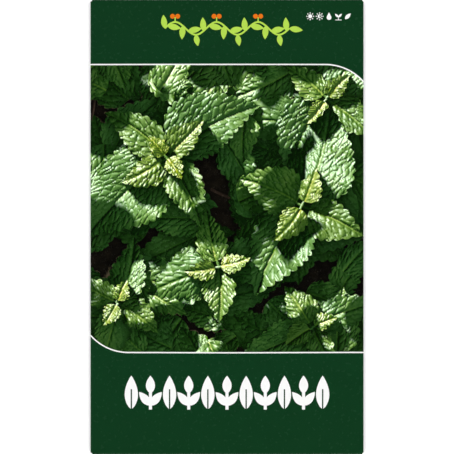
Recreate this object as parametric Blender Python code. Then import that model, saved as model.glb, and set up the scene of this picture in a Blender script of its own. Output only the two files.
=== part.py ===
"""A flat paper seed packet, lying on its back with its printed front up.

One sheet of paper is folded round the seeds. The back panel hangs on the front panel's left edge, a
narrow glue flap on its right edge lies inside the back panel, and a flap at each end folds over the back
panel from outside. Three strips of glue hold the sheet shut, and a heap of seeds lies inside.

Frame: X across the packet, Y up its front, Z up from the surface that the flaps rest on. The origin is
on that surface, under the packet's middle. Lengths are in metres.
"""

import math
import random

import bmesh
import bpy
from mathutils import Matrix

MM = 0.001

# Driving dimensions of the folded packet
WIDTH = 90 * MM
HEIGHT = 150 * MM
PAPER = 0.15 * MM
GLUE = 0.08 * MM
GLUE_CLEARANCE = 0.02 * MM

# The flaps: how far each reaches past its fold, what is cut back at its ends, and how much it narrows
SIDE_FLAP = 12 * MM
BOTTOM_FLAP = 15 * MM
CLOSURE_FLAP = 20 * MM
END_CUT = 1.2 * MM
SIDE_TAPER = 0.09
FLAP_TAPER = 0.14
BACK_SHORT_OF_RIGHT = 0.9 * MM

# The glue strips: length and width of each, and how far its middle lies inside its fold
SIDE_GLUE = (128 * MM, 5 * MM)
BOTTOM_GLUE = (68 * MM, 5 * MM)
CLOSURE_GLUE = (66 * MM, 7 * MM)
SIDE_GLUE_IN = 6.5 * MM
BOTTOM_GLUE_IN = 8.5 * MM
CLOSURE_GLUE_IN = 12 * MM
GLUE_END_STEPS = 6

# How far the front panel stands up, from the air in the packet and over the seeds
PILLOW = 0.85 * MM
SEED_RISE = 0.95 * MM
SEED_SPOT = (1 * MM, -24 * MM)
SEED_SPREAD = (30 * MM, 34 * MM)

# Heights of the middle of each layer of paper, from the outside of the back to the front
LAYER = PAPER + GLUE + 2 * GLUE_CLEARANCE
Z_FLAP = PAPER / 2
Z_BACK = Z_FLAP + LAYER
Z_SIDE = Z_BACK + LAYER
Z_FRONT = Z_SIDE + LAYER

# Radius of the middle of the paper in each fold
LEFT_FOLD = (Z_FRONT - Z_BACK) / 2
RIGHT_FOLD = (Z_FRONT - Z_SIDE) / 2
END_FOLD = (Z_FRONT - Z_FLAP) / 2

# Where the front panel ends and its folds begin
X_LEFT = -WIDTH / 2 + PAPER / 2 + LEFT_FOLD
X_RIGHT = WIDTH / 2 - PAPER / 2 - RIGHT_FOLD
Y_BOTTOM = -HEIGHT / 2 + PAPER / 2 + END_FOLD
Y_TOP = HEIGHT / 2 - PAPER / 2 - END_FOLD

# How finely the sheet is divided
FRONT_COLUMNS = 14
FRONT_ROWS = 22
BEND_STEPS = 6
FLAP_STEPS = 2
SHARP_EDGE = math.radians(40)

# The seeds: about 1.5 mm long, in a heap one seed deep over a thin middle layer
SEED_SIZE = (1.5 * MM, 1.05 * MM, 0.8 * MM)
SEED_PITCH = 1.75 * MM
HEAP_SIZE = (12 * MM, 8 * MM)
HEAP_CORE = 0.3 * MM
HEAP_CORE_SIDES = 28
HEAP_CLEARANCE = 0.06 * MM
SEED_DISORDER = 0.12
SEED_RANDOM = 44


def clear_scene():
    for old in list(bpy.data.objects):
        bpy.data.objects.remove(old, do_unlink=True)


def material(name, colour, roughness):
    made = bpy.data.materials.new(name)
    made.use_nodes = True
    shader = made.node_tree.nodes["Principled BSDF"]
    shader.inputs["Base Color"].default_value = (*colour, 1)
    shader.inputs["Roughness"].default_value = roughness
    shader.inputs["Metallic"].default_value = 0
    return made


def add_object(name, bm, finish):
    mesh = bpy.data.meshes.new(name)
    bm.to_mesh(mesh)
    bm.free()
    mesh.materials.append(finish)
    made = bpy.data.objects.new(name, mesh)
    bpy.context.scene.collection.objects.link(made)
    return made


def front_rise(x, y):
    """How far the front panel stands above its own edges at a point of it."""
    across = max(0, 1 - (2 * x / (X_RIGHT - X_LEFT)) ** 2)
    along = max(0, 1 - (2 * y / (Y_TOP - Y_BOTTOM)) ** 2)
    over_seeds = math.exp(
        -(((x - SEED_SPOT[0]) / SEED_SPREAD[0]) ** 2) - ((y - SEED_SPOT[1]) / SEED_SPREAD[1]) ** 2
    )
    return (PILLOW + SEED_RISE * over_seeds) * across**1.2 * along**1.1


def bend(distance, radius):
    """(reach outwards, drop) of the paper's middle, that far along the sheet past a fold's start."""
    angle = distance / radius
    if angle < math.pi:
        return radius * math.sin(angle), radius * (1 - math.cos(angle))
    return -(distance - math.pi * radius), 2 * radius


def fold(u, v):
    """Where a point of the flat sheet lies in the folded packet."""
    if u < X_LEFT:
        reach, drop = bend(X_LEFT - u, LEFT_FOLD)
        return X_LEFT - reach, v, Z_FRONT - drop
    if u > X_RIGHT:
        reach, drop = bend(u - X_RIGHT, RIGHT_FOLD)
        return X_RIGHT + reach, v, Z_FRONT - drop
    if v < Y_BOTTOM:
        reach, drop = bend(Y_BOTTOM - v, END_FOLD)
        return u, Y_BOTTOM - reach, Z_FRONT - drop
    if v > Y_TOP:
        reach, drop = bend(v - Y_TOP, END_FOLD)
        return u, Y_TOP + reach, Z_FRONT - drop
    return u, v, Z_FRONT + front_rise(u, v)


def steps(start, end, count):
    return [start + (end - start) * i / count for i in range(1, count + 1)]


def past_fold(start, sign, radius, length):
    """Positions along the flat sheet past a fold: through the bend, then over the flap."""
    bend_length = math.pi * radius
    through = steps(start, start + sign * bend_length, BEND_STEPS)
    return through + steps(through[-1], start + sign * (bend_length + length), FLAP_STEPS)


def sheet_lines():
    """The flat sheet's grid lines: {part of the sheet: positions} across it and up it."""
    back_length = (X_RIGHT - X_LEFT) + LEFT_FOLD - BACK_SHORT_OF_RIGHT
    across = {
        "left": past_fold(X_LEFT, -1, LEFT_FOLD, back_length)[::-1],
        "front": [X_LEFT]
        + [X_LEFT + END_CUT + d for d in [0] + steps(0, X_RIGHT - X_LEFT - 2 * END_CUT, FRONT_COLUMNS)]
        + [X_RIGHT],
        "right": past_fold(X_RIGHT, 1, RIGHT_FOLD, SIDE_FLAP),
    }
    up = {
        "bottom": past_fold(Y_BOTTOM, -1, END_FOLD, BOTTOM_FLAP)[::-1],
        "front": [Y_BOTTOM]
        + [Y_BOTTOM + END_CUT + d for d in [0] + steps(0, Y_TOP - Y_BOTTOM - 2 * END_CUT, FRONT_ROWS)]
        + [Y_TOP],
        "top": past_fold(Y_TOP, 1, END_FOLD, CLOSURE_FLAP),
    }
    return across, up


def tapered(u, v):
    """The flat sheet's point moved in where the side and end flaps narrow away from their folds."""
    if u > X_RIGHT:
        return u, v * (1 - SIDE_TAPER * (u - X_RIGHT) / SIDE_FLAP)
    if v < Y_BOTTOM:
        return u * (1 - FLAP_TAPER * (Y_BOTTOM - v) / BOTTOM_FLAP), v
    if v > Y_TOP:
        return u * (1 - FLAP_TAPER * (v - Y_TOP) / CLOSURE_FLAP), v
    return u, v


def paper_envelope(finish):
    """The folded sheet. Each flap joins the front panel along its fold, cut back at both ends."""
    across, up = sheet_lines()
    us = across["left"] + across["front"] + across["right"]
    vs = up["bottom"] + up["front"] + up["top"]
    first_u, last_u = len(across["left"]), len(across["left"]) + len(across["front"]) - 1
    first_v, last_v = len(up["bottom"]), len(up["bottom"]) + len(up["front"]) - 1

    def in_sheet(i, j):
        beside = i < first_u or i >= last_u
        beyond = j < first_v or j >= last_v
        if beside and beyond:
            return False
        if beside:
            return first_v < j < last_v - 1
        if beyond:
            return first_u < i < last_u - 1
        return True

    bm = bmesh.new()
    corners = {}

    def corner(i, j):
        if (i, j) not in corners:
            corners[i, j] = bm.verts.new(fold(*tapered(us[i], vs[j])))
        return corners[i, j]

    for i in range(len(us) - 1):
        for j in range(len(vs) - 1):
            if in_sheet(i, j):
                bm.faces.new((corner(i, j), corner(i + 1, j), corner(i + 1, j + 1), corner(i, j + 1)))
    made = add_object("paper_envelope", bm, finish)
    thick = made.modifiers.new("paper_thickness", "SOLIDIFY")
    thick.thickness = PAPER
    thick.offset = 0
    thick.use_even_offset = True
    made.data.shade_smooth()
    made.data.set_sharp_from_angle(angle=SHARP_EDGE)
    return made


def glue_strip(name, size, middle, finish):
    """A flat strip of glue with round ends, between two layers of paper."""
    length, width = size
    radius = width / 2
    bm = bmesh.new()
    ring = []
    for end in (1, -1):
        for k in range(GLUE_END_STEPS + 1):
            turn = math.pi * (k / GLUE_END_STEPS - 0.5)
            x = length / 2 - radius + radius * math.cos(turn)
            y = radius * math.sin(turn)
            ring.append(bm.verts.new((end * x, end * y, -GLUE / 2)))
    face = bm.faces.new(ring)
    grown = bmesh.ops.extrude_face_region(bm, geom=[face])
    raised = [v for v in grown["geom"] if isinstance(v, bmesh.types.BMVert)]
    bmesh.ops.translate(bm, verts=raised, vec=(0, 0, GLUE))
    bmesh.ops.recalc_face_normals(bm, faces=bm.faces)
    made = add_object(name, bm, finish)
    made.location = middle
    return made


def glue_strips(finish):
    seam = (X_RIGHT - SIDE_GLUE_IN, 0, (Z_BACK + Z_SIDE) / 2)
    side = glue_strip("side_seam_glue", SIDE_GLUE, seam, finish)
    side.rotation_euler = (0, 0, math.pi / 2)
    z = (Z_FLAP + Z_BACK) / 2
    glue_strip("bottom_flap_glue", BOTTOM_GLUE, (0, Y_BOTTOM + BOTTOM_GLUE_IN, z), finish)
    glue_strip("closure_flap_glue", CLOSURE_GLUE, (0, Y_TOP - CLOSURE_GLUE_IN, z), finish)


def seed_places():
    """Centres of the seeds: rows a pitch apart, shifted by half a pitch, inside the heap's oval."""
    rows = int(HEAP_SIZE[1] / SEED_PITCH) + 1
    columns = int(HEAP_SIZE[0] / SEED_PITCH) + 1
    for row in range(-rows, rows + 1):
        for column in range(-columns, columns + 1):
            x = (column + (row % 2) / 2) * SEED_PITCH
            y = row * SEED_PITCH * math.sqrt(3) / 2
            if (x / HEAP_SIZE[0]) ** 2 + (y / HEAP_SIZE[1]) ** 2 < 1:
                yield x, y


def heap_core(finish, z):
    """The thin middle layer of the heap, which its seeds stand out of on both sides."""
    radius = HEAP_SIZE[0]
    bm = bmesh.new()
    bmesh.ops.create_cone(
        bm, cap_ends=True, segments=HEAP_CORE_SIDES, radius1=radius, radius2=radius, depth=HEAP_CORE
    )
    bmesh.ops.scale(bm, vec=(1, HEAP_SIZE[1] / radius, 1), verts=bm.verts)
    bmesh.ops.translate(bm, vec=(*SEED_SPOT, z), verts=bm.verts)
    return add_object("seeds", bm, finish)


def seeds(finish):
    """The heap of seeds on the back panel's inner face, joined into one solid."""
    draw = random.Random(SEED_RANDOM)
    floor = Z_BACK + PAPER / 2 + HEAP_CLEARANCE
    middle = floor + SEED_SIZE[2] / 2
    heap = heap_core(finish, middle)
    loose = bpy.data.collections.new("loose_seeds")
    bpy.context.scene.collection.children.link(loose)
    for x, y in seed_places():
        bm = bmesh.new()
        bmesh.ops.create_icosphere(bm, subdivisions=1, radius=0.5)
        bmesh.ops.scale(bm, vec=SEED_SIZE, verts=bm.verts)
        turn = Matrix.Rotation(draw.uniform(0, math.pi), 3, "Z")
        bmesh.ops.rotate(bm, cent=(0, 0, 0), matrix=turn, verts=bm.verts)
        shift_x = draw.uniform(-SEED_DISORDER, SEED_DISORDER) * SEED_PITCH
        shift_y = draw.uniform(-SEED_DISORDER, SEED_DISORDER) * SEED_PITCH
        lift = draw.uniform(0, SEED_DISORDER) * SEED_SIZE[2]
        place = (SEED_SPOT[0] + x + shift_x, SEED_SPOT[1] + y + shift_y, middle + lift)
        bmesh.ops.translate(bm, vec=place, verts=bm.verts)
        seed = add_object("seed", bm, finish)
        bpy.context.scene.collection.objects.unlink(seed)
        loose.objects.link(seed)
    join = heap.modifiers.new("join_seeds", "BOOLEAN")
    join.operation = "UNION"
    join.operand_type = "COLLECTION"
    join.collection = loose
    join.solver = "MANIFOLD"
    apply_modifiers(heap)
    for seed in list(loose.objects):
        bpy.data.objects.remove(seed, do_unlink=True)
    bpy.data.collections.remove(loose)
    return heap


def apply_modifiers(target):
    graph = bpy.context.evaluated_depsgraph_get()
    done = bpy.data.meshes.new_from_object(target.evaluated_get(graph))
    target.modifiers.clear()
    target.data = done


def main():
    clear_scene()
    printed_paper = material("printed_paper", (0.006, 0.042, 0.014), 0.35)
    glue = material("glue", (0.85, 0.82, 0.70), 0.3)
    seed_coat = material("seed_coat", (0.11, 0.055, 0.025), 0.6)
    paper_envelope(printed_paper)
    glue_strips(glue)
    seeds(seed_coat)


main()
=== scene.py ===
"""Looks of a paper seed packet that lies on its back, seen from straight above.

The paper is one closed mesh. Its outer face is divided along the edges of the print, so every edge of ink is
an edge of the mesh, and the picture's colours are worked out at the corners of its faces. The layout is in
millimetres on the flat sheet, u to the right and v up its front, and fold() then lays it round the seeds.
"""

import math
import random

import bmesh
import bpy
import numpy as np
from mathutils import Matrix, Vector
from mathutils.geometry import delaunay_2d_cdt
from numpy.linalg import norm


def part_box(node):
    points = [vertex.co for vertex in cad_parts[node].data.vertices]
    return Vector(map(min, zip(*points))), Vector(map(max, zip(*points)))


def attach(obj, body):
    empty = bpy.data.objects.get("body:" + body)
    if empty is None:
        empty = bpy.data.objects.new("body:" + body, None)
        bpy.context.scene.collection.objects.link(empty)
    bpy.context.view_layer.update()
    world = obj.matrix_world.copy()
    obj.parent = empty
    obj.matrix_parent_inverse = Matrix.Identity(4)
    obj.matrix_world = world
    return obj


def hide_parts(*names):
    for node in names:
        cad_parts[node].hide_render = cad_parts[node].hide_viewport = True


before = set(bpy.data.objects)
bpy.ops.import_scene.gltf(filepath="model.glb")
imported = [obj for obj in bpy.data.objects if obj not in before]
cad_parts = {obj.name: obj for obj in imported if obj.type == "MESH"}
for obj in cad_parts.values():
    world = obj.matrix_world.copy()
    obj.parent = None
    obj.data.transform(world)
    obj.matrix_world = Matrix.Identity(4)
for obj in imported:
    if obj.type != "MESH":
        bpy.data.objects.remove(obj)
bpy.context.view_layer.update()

MM = 0.001
sheet_low, sheet_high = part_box("paper_envelope")

# The folded sheet, in the CAD part's sizes, except END_CUT, which is smaller for sharp corners on the front
WIDTH = (sheet_high.x - sheet_low.x) / MM
HEIGHT = (sheet_high.y - sheet_low.y) / MM
PAPER = 0.15
GLUE = 0.08
GLUE_CLEARANCE = 0.02
SIDE_FLAP = 12
BOTTOM_FLAP = 15
CLOSURE_FLAP = 20
END_CUT = 0.2
SIDE_TAPER = 0.09
FLAP_TAPER = 0.14
BACK_SHORT_OF_RIGHT = 0.9

# How the front swells: all over, more over the seeds, and in ripples of that height and size
PILLOW = 0.85
PILLOW_FALL = (1.2, 1.1)
SEED_RISE = 0.95
SEED_SPOT = (1, -24)
SEED_SPREAD = (30, 34)
RIPPLE = (0.1, 21)

# Heights of the middle of each layer of paper, and the middle radius of each fold
LAYER = PAPER + GLUE + 2 * GLUE_CLEARANCE
Z_FLAP = PAPER / 2
Z_BACK = Z_FLAP + LAYER
Z_SIDE = Z_BACK + LAYER
Z_FRONT = Z_SIDE + LAYER
LEFT_FOLD = (Z_FRONT - Z_BACK) / 2
RIGHT_FOLD = (Z_FRONT - Z_SIDE) / 2
END_FOLD = (Z_FRONT - Z_FLAP) / 2

# Where the front panel ends, and where each bend and each flap ends on the flat sheet
X_LEFT = -WIDTH / 2 + PAPER / 2 + LEFT_FOLD
X_RIGHT = WIDTH / 2 - PAPER / 2 - RIGHT_FOLD
Y_BOTTOM = -HEIGHT / 2 + PAPER / 2 + END_FOLD
Y_TOP = HEIGHT / 2 - PAPER / 2 - END_FOLD
U_BACK = X_LEFT - math.pi * LEFT_FOLD
U_SIDE = X_RIGHT + math.pi * RIGHT_FOLD
V_UNDER = Y_BOTTOM - math.pi * END_FOLD
V_OVER = Y_TOP + math.pi * END_FOLD
U_BACK_END = U_BACK - (X_RIGHT - X_LEFT + LEFT_FOLD - BACK_SHORT_OF_RIGHT)
U_SIDE_END = U_SIDE + SIDE_FLAP
V_UNDER_END = V_UNDER - BOTTOM_FLAP
V_OVER_END = V_OVER + CLOSURE_FLAP

# Each fold: the axis that it bends, where its bend starts and ends along that axis, and its radius
FOLDS = (
    (0, X_LEFT, U_BACK, LEFT_FOLD),
    (0, X_RIGHT, U_SIDE, RIGHT_FOLD),
    (1, Y_BOTTOM, V_UNDER, END_FOLD),
    (1, Y_TOP, V_OVER, END_FOLD),
)
FLAP_CORNER = 3
FRONT_CORNER = 0.05

# How finely the sheet is divided: in the picture, in the plain front, where it is flat and along its outlines
PICTURE_PITCH = 0.37
FRONT_PITCH = 2.5
FLAT_PITCH = 10
OUTLINE_PITCH = 2
FOLD_STEPS = 6
NORMAL_STEP = 0.002

# Gaps that the points inside the sheet's nets leave to the folds, to its edges and to finer points
PICTURE_GAPS = (0.2, 0.1)
FRONT_GAP = 1
INNER_GAP = 0.5
FLAT_GAP = 2
END_GAP = 3

# The print on the front: the picture with its white line
PRINT_BLEED = 2
PICTURE_TOP = 53.3
PICTURE_BOTTOM = -41.1
PICTURE_LINE = 0.42
CORNER_RADIUS = 16.6
CORNER_FROM_MIDDLE = 32.4

# The frieze under the picture, with its leaves' ribs as a share of their height and a width
FRIEZE_HALF = 33.7
FRIEZE_LOW = -60.1
FRIEZE_HIGH = -48.9
FRIEZE_LEAF = 4.4
FRIEZE_RIB = (0.6, 0.45)
FRIEZE_PAIRS = 5

# The vine above the picture, with its leaves and stalks as length and width
VINE_HALF = 20.5
VINE_MIDDLE = 65.4
VINE_WAVE = 2.1
VINE_WAVES = 3
VINE_STEM = 0.6
PAIR_LEAF = (4.5, 2.0)
PAIR_TURN = 52
PAIR_SHIFT = 0.9
LOW_LEAF = (3.8, 1.9)
LOW_LEAF_HEADING = -80
BERRY_STALK = (1.6, 0.4)
BERRY_RADIUS = 0.8
BERRIES = ((-0.85, 1.9), (0.85, 1.9))

# The small signs at the top right
ICON_SIZE = 2.6
ICON_LEFT = 27.4
ICON_PITCH = 3.1
ICON_HEIGHT = 69.4
ICON_LEAF_WIDTH = 1.2

# A sprout, in shares of its height: stalk's height and width, and leaves' base, heading, length and width
SPROUT_STALK = (0.6, 0.09)
SPROUT_LEAVES = ((0.47, 90, 0.53, 0.27), (0.12, 50, 0.52, 0.24), (0.12, 130, 0.52, 0.24))

# The print on the back: a pale panel with a sprout, a calendar of the months, signs and lines to write on
PANEL_EDGE = 4.5
PANEL_LOW = -55
PANEL_HIGH = 50
PANEL_CORNER = 4
PANEL_SPROUT = 14
PANEL_SPROUT_DROP = 20
MONTH_BOX = (5.6, 5.2)
MONTH_GAP = 0.6
MONTH_CORNER = 0.8
DIGIT_SIZE = 3.4
CALENDAR_HEIGHT = 12
SEASON_BAR = 2
SIGN_SIZES = (8, 8, 7, 7.5)
SIGN_PITCH = 16
SIGN_HEIGHT = -9
SIGN_DISC = 5.4
WRITING_LINES = (-24, -31, -38, -45)
WRITING_INSET = 8
WRITING_WEIGHT = 0.25

# The bed of leaves in the picture: the grid that its shadows are read from, and the sun
BED_MARGIN = 16
BED_PITCH = 0.25
SUN_HEADING = math.radians(128)
SUN_HEIGHT = math.radians(38)
SUN_FLAT = math.cos(SUN_HEIGHT)
SUN = np.array((math.cos(SUN_HEADING) * SUN_FLAT, math.sin(SUN_HEADING) * SUN_FLAT, math.sin(SUN_HEIGHT)))
FILL = np.array((0.5, -0.35, 0.79))
SUN_SPREADS = (-0.05, 0, 0.05)
SHADOW_STEPS = np.arange(0.5, 26, 0.4)
SKY_RINGS = (1.2, 2.6, 5, 9)

# The light on a leaf: the strength and sharpness of its parts
SUN_LIGHT = (0.80, 1.3)
SKY_LIGHT = (0.17, 1.5)
SUN_GLOSS = (0.95, 26)
SUN_SHEEN = (0.10, 6)
SKY_GLOSS = (0.012, 4)
LEAST_LIGHT = 0.014
RIB_BRIGHTNESS = 0.5
RIB_YOUTH = 0.3

# The sun falls in patches, more of it on high leaves. Each pair is a noise's height and the size of its bumps
WIDE_PATCHES = (4.8, 19)
SMALL_PATCHES = (4.0, 7)
PATCH_BY_HEIGHT = 0.26
PATCH_LEVEL = 3.2
YOUTH_PATCHES = (0.12, 5)
CLODS = (0.6, 4)
CRUMBS = (0.4, 1.5)
SOIL_PATCHES = (0.5, 1.7)
SOIL_LIGHTS = (0.001, 0.010, 0.05)

# Sharpening of the picture: strength, distance and points. And steps for a leaf's slope and teeth
SHARPEN = 0.8
SHARPEN_REACH = 0.3
SHARPEN_POINTS = 4
SLOPE_STEP = 0.22
TOOTH_POINTS = 7

# The bed: branches on the ground, low leaves in rows, and shoots over them
BED_RANDOM = 11
BRANCHES = 16
LOW_LEAF_PITCH = 9

# Each shoot's place, heading and level, and the length and width of its pairs of leaves up to its tip
SHOOTS = (
    ((28, -33), 0.5, 11, ((21, 15), (15, 11), (9, 7))),
    ((-36, -25), 1.2, 12, ((20, 15), (14, 10), (8, 6))),
    ((-3, -13), 0.25, 13, ((24, 18), (18, 13), (10, 8))),
    ((33, 42), 0.9, 14, ((24, 17), (17, 12), (10, 7))),
    ((-20, 23), 0.62, 17, ((33, 24), (25, 18), (15, 11), (8, 6))),
    ((25, 7), 1.05, 18, ((31, 23), (22, 17), (13, 10))),
)

# The heap of seeds: the lattice, the size of a seed, and how the layers lie
SEED_RANDOM = 5
SEED_PITCH = 1.52
SEED_SIZE = (1.42, 1.0, 0.78)
SEED_CLEARANCE = 0.03
LAYER_REACHES = (0.94, 0.6)
LAYER_SHIFT = (0.5, 0.29)
LAYER_RISE = 0.82

# The studio, in metres, and its four lights, in watts and degrees
FLOOR_RADIUS = 1.2
FLOOR_HEIGHT = -0.00005
WALL_RADIUS = 1.8
WALL_HEIGHT = 1.1
FLOOR_GLOW = 0.15
WALL_GLOW = 0.45
WORLD_GLOW = 0.02
LIGHTS = 4
LIGHT_POWER = 4.9
LIGHT_TURN = 40
LIGHT_SIZE = 0.7
LIGHT_AWAY = 0.9
LIGHT_HEIGHT = 0.68

# The camera, in millimetres, and the share of the packet's height that it shows at the focus height
LENS = 100
SENSOR = 36
FOCUS_HEIGHT = 0.5
FRAMED = 0.998

# Linear colours of the print, and how a leaf's brightness becomes a colour
GREEN_INK = (0.0039, 0.0357, 0.0108)
LIME_INK = (0.41, 0.63, 0.075)
ORANGE_INK = (0.72, 0.155, 0.008)
WHITE_PRINT = (0.86, 0.86, 0.85)
PANEL_INK = (0.80, 0.83, 0.70)
BARE_PAPER = (0.80, 0.79, 0.75)
LEAF_BRIGHTNESS = (0, 0.05, 0.12, 0.3, 0.55, 0.8, 1.1)
LEAF_RED = (0.0004, 0.0028, 0.010, 0.055, 0.18, 0.36, 0.62)
LEAF_GREEN = (0.0026, 0.017, 0.044, 0.135, 0.34, 0.52, 0.76)
LEAF_BLUE = (0, 0.0012, 0.005, 0.02, 0.075, 0.18, 0.42)
OLD_LEAF_TINT = np.array((0.85, 1.0, 0.9))
YOUNG_LEAF_TINT = np.array((1.5, 1.12, 0.36))
STEM_TINT = np.array((1.5, 0.95, 0.6))
SOIL_TINT = np.array((0.70, 0.56, 0.32))
GLOSS_TINT = np.array((0.60, 0.68, 0.62))

# The finish of the print
PRINT_ROUGHNESS = (0.20, 0.29)
PRINT_IOR = 1.3
FOLD_WEAR = 0.04

# The order of the paper's material slots
GREEN, WHITE, LIME, ORANGE, PANEL, PICTURE, BARE = range(7)

# Bars under the calendar: first and last month from 0, ink, and how far under its lower edge the bar's top is
SEASONS = ((2, 4, LIME, 1.4), (5, 9, ORANGE, 4.6))


# Noise


def scatter(i, j, seed):
    """A number from -1 to 1 for each pair of whole numbers, with no pattern to it."""
    n = np.sin(i * 127.1 + j * 311.7 + seed * 74.7) * 43758.5453
    return (n - np.floor(n)) * 2 - 1


def bumps(x, y, height, size, seed):
    """Smooth noise of about that height up and down, with bumps about that size."""
    u, v = np.asarray(x) / size, np.asarray(y) / size
    i, j = np.floor(u), np.floor(v)
    right, up = u - i, v - j
    right, up = right * right * (3 - 2 * right), up * up * (3 - 2 * up)
    low = scatter(i, j, seed) * (1 - right) + scatter(i + 1, j, seed) * right
    high = scatter(i, j + 1, seed) * (1 - right) + scatter(i + 1, j + 1, seed) * right
    return height * (low * (1 - up) + high * up)


# Folding


def unit(vectors):
    """A vector, or each of several, scaled to length 1."""
    return vectors / norm(vectors, axis=-1, keepdims=True)


def front_rise(x, y):
    """How far the front panel stands above its own edges."""
    across = np.clip(1 - (2 * x / (X_RIGHT - X_LEFT)) ** 2, 0, 1)
    along = np.clip(1 - (2 * y / (Y_TOP - Y_BOTTOM)) ** 2, 0, 1)
    over_seeds = np.exp(
        -(((x - SEED_SPOT[0]) / SEED_SPREAD[0]) ** 2) - ((y - SEED_SPOT[1]) / SEED_SPREAD[1]) ** 2
    )
    swollen = PILLOW + bumps(x, y, *RIPPLE, seed=3) + SEED_RISE * over_seeds
    return swollen * across ** PILLOW_FALL[0] * along ** PILLOW_FALL[1]


def past_folds(place):
    """For each fold: its axis, the way it faces, how far past its start each point lies, and its radius."""
    for axis, start, end, radius in FOLDS:
        way = math.copysign(1, end - start)
        yield axis, way, way * (place[axis] - start), radius


def fold(u, v):
    """Where points of the flat sheet's middle lie in the folded packet."""
    folded = [np.clip(u, X_LEFT, X_RIGHT), np.clip(v, Y_BOTTOM, Y_TOP)]
    on_front = (folded[0] == u) & (folded[1] == v)
    z = Z_FRONT + front_rise(*folded) * on_front
    for axis, way, distance, radius in past_folds((u, v)):
        angle = np.clip(distance / radius, 0, math.pi)
        reach = radius * np.sin(angle) - np.maximum(distance - math.pi * radius, 0)
        folded[axis] = folded[axis] + way * reach
        z = z - radius * (1 - np.cos(angle))
    return np.stack((*folded, z), -1)


def fold_normals(u, v):
    """The printed side's normal in the folded packet."""
    step = NORMAL_STEP
    across = fold(u + step, v) - fold(u - step, v)
    up = fold(u, v + step) - fold(u, v - step)
    return unit(np.cross(across, up))


# Plane shapes


def from_local(base, heading, along, side):
    """Places on the sheet of points given along a heading in radians and to its left."""
    c, s = math.cos(heading), math.sin(heading)
    return base[0] + along * c - side * s, base[1] + along * s + side * c


def to_local(base, heading, x, y):
    """The reverse of from_local."""
    c, s = math.cos(heading), math.sin(heading)
    return (x - base[0]) * c + (y - base[1]) * s, -(x - base[0]) * s + (y - base[1]) * c


def arc(centre, radius, start, end, count):
    """Points of an arc from one angle to another, in degrees."""
    turns = np.radians(np.linspace(start, end, count))
    return [(centre[0] + radius * math.cos(t), centre[1] + radius * math.sin(t)) for t in turns]


def circle(centre, radius, count=20):
    return arc(centre, radius, 0, 360 * (1 - 1 / count), count)


def rounded(corners, radii, count=6):
    """A polygon with its corners rounded. A radius of 0 leaves a corner sharp."""
    made = []
    for k, radius in enumerate(radii):
        here = np.array(corners[k], float)
        if radius == 0:
            made.append(tuple(here))
            continue
        before = unit(np.array(corners[k - 1]) - here)
        after = unit(np.array(corners[(k + 1) % len(corners)]) - here)
        half = math.acos(np.clip(before @ after, -1, 1)) / 2
        away = radius / math.tan(half)
        middle = here + unit(before + after) * radius / math.sin(half)
        start, end = here + before * away - middle, here + after * away - middle
        turn = math.atan2(start[0] * end[1] - start[1] * end[0], start @ end)
        made += [from_local(middle, t, *start) for t in np.linspace(0, turn, count)]
    return made


def box(low, high, radius=0):
    return rounded([low, (high[0], low[1]), high, (low[0], high[1])], [radius] * 4)


def blade(base, heading, length, width, count=12):
    """A pointed oval from its base, with the heading in degrees."""
    s = np.linspace(0, 1, count + 1)
    side = width / 2 * np.sin(math.pi * s**0.85) ** 0.85
    along = np.concatenate((length * s, length * s[-2:0:-1]))
    across = np.concatenate((side, -side[-2:0:-1]))
    return np.stack(from_local(base, math.radians(heading), along, across), -1)


def ribbon(path, width):
    """A band of even width along a path."""
    path = np.array(path, float)
    run = unit(np.gradient(path, axis=0))
    side = np.stack((-run[:, 1], run[:, 0]), -1) * width / 2
    return np.concatenate((path + side, (path - side)[::-1]))


def upright(u, low, tall, width):
    """A ribbon straight up."""
    return ribbon([(u, low), (u, low + tall)], width)


def inside(polygon, x, y):
    """Which of the points lie in a polygon."""
    polygon = np.asarray(polygon)
    low, high = polygon.min(0), polygon.max(0)
    within = (x > low[0]) & (x < high[0]) & (y > low[1]) & (y < high[1])
    x, y = x[within], y[within]
    odd = np.zeros(len(x), bool)
    for (x0, y0), (x1, y1) in zip(polygon, np.roll(polygon, -1, 0)):
        if y0 != y1:
            odd ^= ((y0 > y) != (y1 > y)) & (x < x0 + (y - y0) * (x1 - x0) / (y1 - y0))
    within[within] = odd
    return within


# Print


def window(grow=0):
    """The picture's outline, or one that much wider at its top and bottom. Two of its corners are round."""
    radius, count = CORNER_RADIUS + grow, 30
    top_right = (CORNER_FROM_MIDDLE, PICTURE_TOP - CORNER_RADIUS)
    bottom_left = (-CORNER_FROM_MIDDLE, PICTURE_BOTTOM + CORNER_RADIUS)
    right_end = math.degrees(math.acos((U_SIDE - top_right[0]) / radius))
    left_end = 360 - math.degrees(math.acos((U_BACK - bottom_left[0]) / radius))
    top = [(U_BACK, PICTURE_TOP + grow), *arc(top_right, radius, 90, right_end, count)]
    return [*top, (U_SIDE, PICTURE_BOTTOM - grow), *arc(bottom_left, radius, 270, left_end, count)]


def sprout(u, low, tall, ink):
    """A stalk with a leaf on its tip and one on each side."""
    stalk_height, stalk_width = SPROUT_STALK
    yield ink, upright(u, low, stalk_height * tall, stalk_width * tall)
    for base, heading, length, width in SPROUT_LEAVES:
        yield ink, blade((u, low + base * tall), heading, length * tall, width * tall)


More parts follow.
